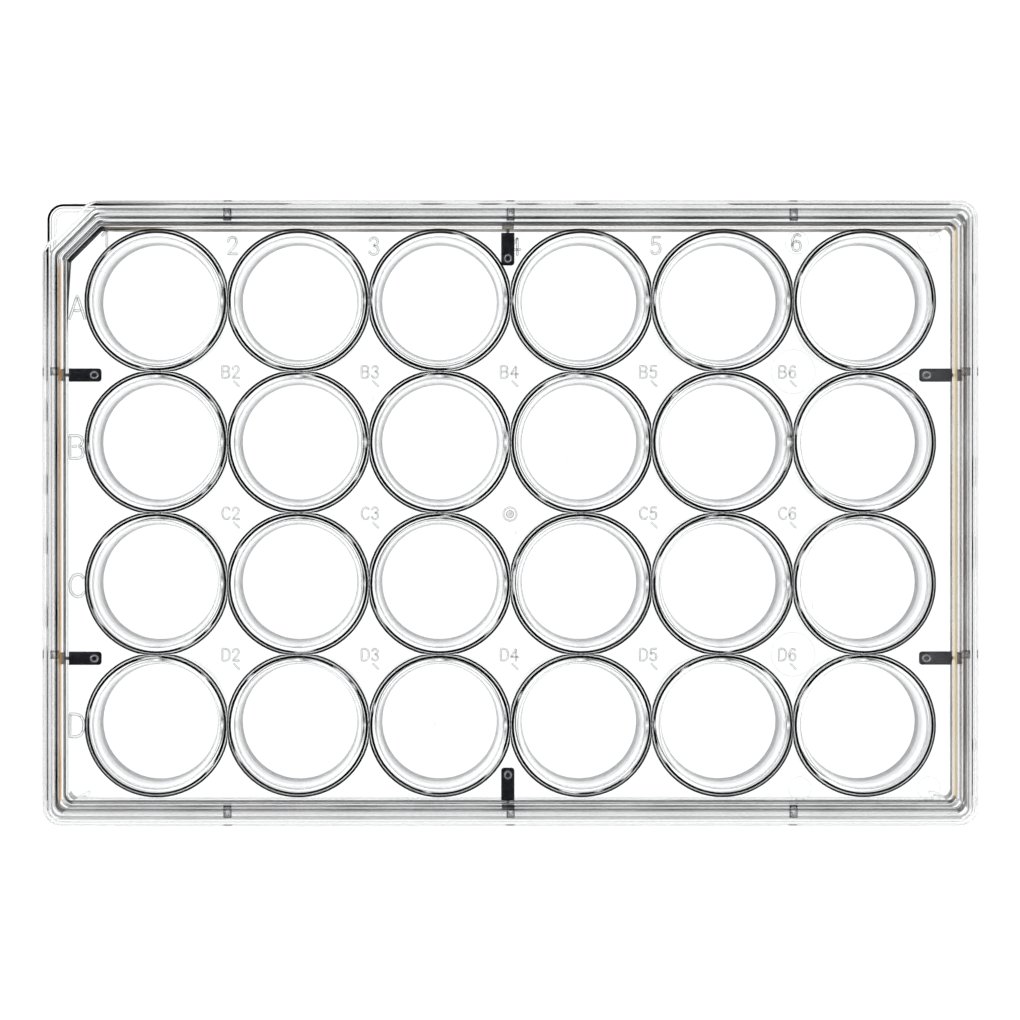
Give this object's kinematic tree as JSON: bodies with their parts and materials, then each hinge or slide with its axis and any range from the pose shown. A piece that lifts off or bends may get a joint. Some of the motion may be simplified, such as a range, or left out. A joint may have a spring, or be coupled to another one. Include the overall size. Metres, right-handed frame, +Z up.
{
  "type": "well plate",
  "caption": "Clear rectangular tissue-culture plate with round wells in a grid, a two-step skirt with one cut corner, and a loose clear lid.",
  "frame": {"origin": "centre of the footprint, on the surface the plate stands on", "axes": "+X along the columns from 1 to 6, +Y from row D towards row A, +Z up; well A1 and the cut corner are at -X +Y"},
  "size_m": [0.1278, 0.0854, 0.0223],
  "materials": {
    "clear_plate": "clear polished polystyrene",
    "clear_lid": "clear polished polystyrene"
  },
  "bodies": {
    "root": {"plate": "clear_plate", "lid": "clear_lid"}
  },
  "joints": []
}
